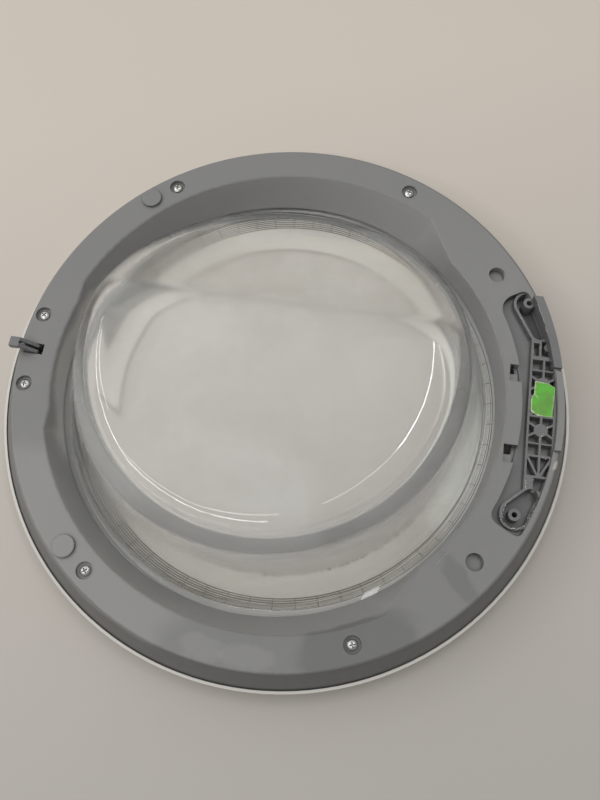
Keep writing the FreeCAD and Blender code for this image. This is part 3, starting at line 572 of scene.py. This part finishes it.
def label_mesh():
    """The label cut into small cells, gently waved, with its frayed edge and torn fold marked."""
    mesh, work = joined_mesh("hinge_label", "price_sticker")
    top = max(work.faces, key=lambda face: face.calc_center_median().z)
    rim = [v.co.xy for v in top.verts]
    rim.append(rim[0])
    fold = [Vector(p) * MM for p in LABEL_FOLD]
    for axis, normal in ((0, Vector((1, 0, 0))), (1, Vector((0, 1, 0)))):
        for at in np.arange(LABEL_LOW[axis] + LABEL_STEP / 2, LABEL_HIGH[axis], LABEL_STEP):
            parts = work.verts[:] + work.edges[:] + work.faces[:]
            bmesh.ops.bisect_plane(work, geom=parts, plane_co=normal * at, plane_no=normal)
    fray = work.verts.layers.float.new("fray")
    middle_x = (LABEL_LOW.x + LABEL_HIGH.x) / 2
    for v in work.verts:
        spot = v.co.xy
        ragged = noise.noise(v.co / (1.6 * MM))
        band = LABEL_FRAY * (0.5 + ragged) * (1.5 if spot.x < middle_x else 0.5)
        edge = (band - off_path(spot, rim)) / LABEL_FRAY + 0.5
        crack = 1 - off_path(spot, fold) / LABEL_FOLD_W
        v[fray] = max(0.0, min(1.0, max(edge, crack)))
        v.co.z += LABEL_WAVE * (0.5 + 0.5 * noise.noise(v.co / (7 * MM)))
    for face in work.faces:
        face.smooth = True
    work.to_mesh(mesh)
    work.free()
    mesh.set_sharp_from_angle(angle=math.radians(SKIN_SHARP_DEG))
    return mesh


def new_tree(name, sockets):
    """A geometry tree with its named inputs, one output of geometry and its two end nodes."""
    tree = bpy.data.node_groups.new(name, "GeometryNodeTree")
    for label, kind in sockets.items():
        tree.interface.new_socket(label, in_out="INPUT", socket_type="NodeSocket" + kind)
    tree.interface.new_socket("Geometry", in_out="OUTPUT", socket_type="NodeSocketGeometry")
    return tree, add(tree, "NodeGroupInput").outputs, add(tree, "NodeGroupOutput")


def lip_ridge_tree(material):
    """Rings stepped along the slope of the lip, and short ticks across them at equal angles."""
    sizes = ("First Radius", "Last Radius", "First Height", "Last Height", "Section", "Tick Section")
    sockets = {"Count": "Int", "Ticks": "Int", **{size: "Float" for size in sizes}}
    tree, given, out = new_tree("lip_ridges", sockets)
    index = add(tree, "GeometryNodeInputIndex").outputs[0]
    last = add(tree, "ShaderNodeMath", {0: given["Count"], 1: 1.0}, operation="SUBTRACT").outputs[0]
    share = add(tree, "ShaderNodeMath", {0: index, 1: last}, operation="DIVIDE").outputs[0]
    span = {"Value": share, "To Min": given["First Height"], "To Max": given["Last Height"]}
    height = add(tree, "ShaderNodeMapRange", span).outputs[0]
    span = {"Value": share, "To Min": given["First Radius"], "To Max": given["Last Radius"]}
    radius = add(tree, "ShaderNodeMapRange", span).outputs[0]
    level = add(tree, "ShaderNodeCombineXYZ", {"Z": height}).outputs[0]
    spots = add(tree, "GeometryNodePoints", {"Count": given["Count"], "Position": level}).outputs[0]
    outline = {"Resolution": RING_STEPS, "Radius": 1.0}
    ring = add(tree, "GeometryNodeCurvePrimitiveCircle", outline).outputs[0]
    size = add(tree, "ShaderNodeCombineXYZ", {"X": radius, "Y": radius, "Z": 1.0}).outputs[0]
    laid = {"Points": spots, "Instance": ring, "Scale": size}
    rings = add(tree, "GeometryNodeInstanceOnPoints", laid).outputs[0]
    step = add(tree, "ShaderNodeMath", {0: 2 * math.pi, 1: given["Ticks"]}, operation="DIVIDE").outputs[0]
    angle = add(tree, "ShaderNodeMath", {0: index, 1: step}, operation="MULTIPLY").outputs[0]
    turn = add(tree, "ShaderNodeCombineXYZ", {"Z": angle}).outputs[0]
    ends = {}
    for end, order in (("Start", "First"), ("End", "Last")):
        spot = {"X": given[order + " Radius"], "Z": given[order + " Height"]}
        ends[end] = add(tree, "ShaderNodeCombineXYZ", spot).outputs[0]
    bar = add(tree, "GeometryNodeCurvePrimitiveLine", ends).outputs[0]
    fan = add(tree, "GeometryNodePoints", {"Count": given["Ticks"]}).outputs[0]
    laid = {"Points": fan, "Instance": bar, "Rotation": turn}
    bars = add(tree, "GeometryNodeInstanceOnPoints", laid).outputs[0]
    both = add(tree, "GeometryNodeJoinGeometry")
    for lines, section in ((rings, given["Section"]), (bars, given["Tick Section"])):
        curves = add(tree, "GeometryNodeRealizeInstances", {"Geometry": lines}).outputs[0]
        outline = {"Resolution": SECTION_SIDES, "Radius": section}
        shape = add(tree, "GeometryNodeCurvePrimitiveCircle", outline).outputs[0]
        swept = add(tree, "GeometryNodeCurveToMesh", {"Curve": curves, "Profile Curve": shape}).outputs[0]
        tree.links.new(swept, both.inputs[0])
    painted = add(tree, "GeometryNodeSetMaterial", {"Geometry": both.outputs[0], "Material": material})
    tree.links.new(painted.outputs[0], out.inputs[0])
    return tree


def bead_tree(material):
    """Ragged bead along each given run, with crumbs of the same stuff clinging to it."""
    sockets = {"Geometry": "Geometry", "Spacing": "Float", "Shake": "Float", "Seed": "Int"}
    tree, given, out = new_tree("worn_edges_and_glints", sockets)
    run = add(tree, "GeometryNodeMeshToCurve", {"Mesh": given["Geometry"]}).outputs[0]
    spaced = {"Curve": run, "Length": given["Spacing"]}
    fine = add(tree, "GeometryNodeResampleCurve", spaced, mode="LENGTH").outputs[0]
    seed = given["Seed"]
    box = {0: (-1, -1, -1), 1: (1, 1, 1), "Seed": seed}
    aside = add(tree, "FunctionNodeRandomValue", box, data_type="FLOAT_VECTOR").outputs[0]
    push = {0: aside, "Scale": given["Shake"]}
    shift = add(tree, "ShaderNodeVectorMath", push, operation="SCALE").outputs[0]
    shaken = add(tree, "GeometryNodeSetPosition", {"Geometry": fine, "Offset": shift}).outputs[0]
    thick = add(tree, "GeometryNodeInputNamedAttribute", {"Name": "thick"}).outputs[0]
    swell = add(tree, "FunctionNodeRandomValue", {2: -0.6, 3: 1.0, "Seed": seed}).outputs[1]
    gauge = {0: thick, 1: swell}
    reach = add(tree, "ShaderNodeMath", gauge, operation="MULTIPLY", use_clamp=True).outputs[0]
    outline = {"Resolution": SECTION_SIDES, "Radius": 1.0}
    section = add(tree, "GeometryNodeCurvePrimitiveCircle", outline).outputs[0]
    sweep = {"Curve": shaken, "Profile Curve": section, "Scale": reach, "Fill Caps": True}
    burr = add(tree, "GeometryNodeCurveToMesh", sweep).outputs[0]
    spaced = {"Curve": shaken, "Length": given["Spacing"]}
    spots = add(tree, "GeometryNodeCurveToPoints", spaced, mode="LENGTH").outputs[0]
    crumb = add(tree, "GeometryNodeMeshIcoSphere", {"Radius": 1.0, "Subdivisions": 1}).outputs[0]
    spread = {"Points": spots, "Instance": crumb, "Rotation": aside, "Scale": reach}
    crumbs = add(tree, "GeometryNodeInstanceOnPoints", spread).outputs[0]
    loose = add(tree, "GeometryNodeRealizeInstances", {"Geometry": crumbs}).outputs[0]
    both = add(tree, "GeometryNodeJoinGeometry")
    for part in (burr, loose):
        tree.links.new(part, both.inputs[0])
    painted = add(tree, "GeometryNodeSetMaterial", {"Geometry": both.outputs[0], "Material": material})
    tree.links.new(painted.outputs[0], out.inputs[0])
    return tree


def path_mesh(name, paths):
    """Open runs of edges, each point carrying the half thickness of its run."""
    points = []
    edges = []
    thick = []
    for half, run in paths:
        edges += [(len(points) + i, len(points) + i + 1) for i in range(len(run) - 1)]
        points += [Vector(p) * MM for p in run]
        thick += [half * MM] * len(run)
    mesh = bpy.data.meshes.new(name)
    mesh.from_pydata(points, edges, [])
    mesh.attributes.new("thick", "FLOAT", "POINT").data.foreach_set("value", thick)
    return mesh


def grown(name, tree, values, start=None):
    """Plain mesh that a node tree makes from a starting mesh, its inputs set by identifier."""
    holder = bpy.data.objects.new(name + "_start", start or bpy.data.meshes.new(name + "_start"))
    bpy.context.scene.collection.objects.link(holder)
    modifier = holder.modifiers.new("tree", "NODES")
    modifier.node_group = tree
    for item in tree.interface.items_tree:
        if item.in_out == "INPUT" and item.name in values:
            modifier[item.identifier] = values[item.name]
    bpy.context.view_layer.update()
    mesh = bpy.data.meshes.new_from_object(holder.evaluated_get(bpy.context.evaluated_depsgraph_get()))
    bpy.data.objects.remove(holder)
    mesh.name = name
    return mesh


def strip_light(name, end_a, end_b, level):
    """A thin tube lamp between two points, turned to the door."""
    lamp = bpy.data.lights.new(name, "AREA")
    lamp.shape = "RECTANGLE"
    lamp.size = (end_b - end_a).length
    lamp.size_y = STRIP_WIDTH
    lamp.energy = level * math.pi * lamp.size * lamp.size_y
    middle = (end_a + end_b) / 2
    along = (end_b - end_a).normalized()
    back = (middle - along * middle.dot(along)).normalized()
    turn = Matrix((along, back.cross(along), back)).transposed()
    holder = bpy.data.objects.new(name, lamp)
    holder.matrix_world = Matrix.Translation(middle) @ turn.to_4x4()
    bpy.context.scene.collection.objects.link(holder)


# Finishes
WHITE = moulded_plastic("moulded_white_abs", "#D5D2CB", "#CBC8C0", 0.32, 0.9, 0.01, LIP_MARKS)
GREY = moulded_plastic("moulded_grey_abs", "#7A7978", "#737372", 0.42, 0.8, 0.02, LAND_MARKS)
DARK = moulded_plastic("moulded_dark_grey_abs", "#696969", "#606060", 0.45, 0.8, 0.02)
HOOK_GREY = moulded_plastic("moulded_latch_plastic", "#6E6E6F", "#656566", 0.38, 0.8, 0.015)
# The whitened tint serves both stress-whitened wear and painted highlights
WHITENED_AND_GLINT = moulded_plastic("whitened_abs_and_glints", "#D8D8D5", "#B4B4B0", 0.55, 0.5, 0.02)
DARK_LINE_PLASTIC = moulded_plastic("dark_lip_lines", "#5E564B", "#524B42", 0.6, 0.6, 0.02)
GLASS = bowl_glass()
ZINC = zinc_steel()
GREEN = label_film()

# Pieces that stand for the solids
dressed("front_frame", "front_moulding", "door", "white_abs", WHITE)
# The ring's inner wall is painted lighter and its outer slope darker; the lattice floors of the hinge seat are
# painted lighter
dressed("inner_frame", "ring_moulding", "door", "grey_abs", GREY, light_of=side_light_and_shade)
dressed("hinge_bracket", "hinge_seat", "door", "dark_plastic", DARK, 0.35, light_of=cell_floor_light)
dressed("buffer_plugs", "buffer_caps", "door", "grey_abs", GREY)
dressed("frame_screws", "ring_screws", "door", "zinc_steel", ZINC, 0.15)
dressed("latch_hook", "latch_claw", "hook", "dark_plastic", HOOK_GREY, 0.4)
dressed("latch_pin", "latch_axle", "door", "zinc_steel", ZINC)
dressed("latch_spring", "latch_coil", "door", "zinc_steel", ZINC)
belongs(link("door_bowl", glass_mesh(), GLASS), "door", "bowl_glass", "door_glass")
belongs(link("price_sticker", label_mesh(), GREEN), "door", "green_film", "hinge_label")

# Fine grooves of the lip, worn edges and painted highlights of the hinge seat, a dark line along the inner edge
# of the lip
groove_values = {
    "Count": GROOVE_COUNT,
    "Ticks": TICK_COUNT,
    "First Radius": GROOVE_R0,
    "Last Radius": GROOVE_R1,
    "First Height": LIP_EDGE_Z + LIP_RISE * (GROOVE_R0 - LIP_EDGE_R),
    "Last Height": LIP_EDGE_Z + LIP_RISE * (GROOVE_R1 - LIP_EDGE_R),
    "Section": GROOVE_SECTION,
    "Tick Section": TICK_SECTION,
}
ridges = grown("lip_ridges", lip_ridge_tree(DARK_LINE_PLASTIC), groove_values)
belongs(link("lip_ridges", ridges, DARK_LINE_PLASTIC), "door", "white_abs")
wear_and_glint_values = {"Spacing": 0.6 * MM, "Shake": 0.4 * MM, "Seed": 4}
burrs_and_glints = grown("worn_edges_and_glints", bead_tree(WHITENED_AND_GLINT), wear_and_glint_values, path_mesh("wear_and_glint_runs", WEAR_AND_GLINTS))
belongs(link("worn_edges_and_glints", burrs_and_glints, WHITENED_AND_GLINT), "door", "dark_plastic")
edge_turns = [math.radians(d) for d in EDGE_LINE_DEG]
edge_run = [
    (LIP_EDGE_R * math.cos(a) / MM, LIP_EDGE_R * math.sin(a) / MM, LIP_EDGE_Z / MM) for a in edge_turns
]
edge_line_values = {"Spacing": 1.5 * MM, "Shake": 0.5 * MM, "Seed": 7}
edge_line_start = path_mesh("edge_line_run", [(EDGE_LINE_MM, edge_run)])
edge_line = grown("lip_edge_line", bead_tree(DARK_LINE_PLASTIC), edge_line_values, edge_line_start)
belongs(link("lip_edge_line", edge_line, DARK_LINE_PLASTIC), "door", "white_abs")

# Table six metres across, light and camera
table_mesh = bpy.data.meshes.new("table")
table_mesh.from_pydata([(-3, -3, 0), (3, -3, 0), (3, 3, 0), (-3, 3, 0)], [], [(0, 1, 2, 3)])
link("table", table_mesh, table_top())

world = bpy.data.worlds.new("room")
bpy.context.scene.world = world
world.use_nodes = True
sky = world.node_tree
ray = add(sky, "ShaderNodeTexCoord").outputs["Generated"]
side = Vector(ROOM_BRIGHT_SIDE).normalized()
toward = add(sky, "ShaderNodeVectorMath", {0: ray, 1: side}, operation="DOT_PRODUCT").outputs["Value"]
ahead = add(sky, "ShaderNodeMath", {0: toward, 1: 0.0}, operation="MAXIMUM").outputs[0]
near = add(sky, "ShaderNodeMath", {0: ahead, 1: ROOM_FALL}, operation="POWER").outputs[0]
glow = add(sky, "ShaderNodeMapRange", {"Value": near, "To Min": ROOM_DIM, "To Max": ROOM_BRIGHT})
sky.links.new(glow.outputs["Result"], sky.nodes["Background"].inputs["Strength"])
sky.nodes["Background"].inputs["Color"].default_value = srgb("#F6F6F5")
for name, end_a, end_b, level in STRIPS:
    strip_light(name, Vector(end_a), Vector(end_b), level)

camera = bpy.data.cameras.new("photo_view")
camera.lens = CAMERA_LENS_MM
camera.sensor_width = CAMERA_SENSOR_MM
camera.clip_start = CAMERA_NEAR
viewer = bpy.data.objects.new("photo_view", camera)
viewer.location = CAMERA_AT
viewer.rotation_euler = [math.radians(d) for d in CAMERA_TURN_DEG]
bpy.context.scene.collection.objects.link(viewer)
bpy.context.scene.camera = viewer
bpy.context.scene.view_settings.view_transform = "Standard"
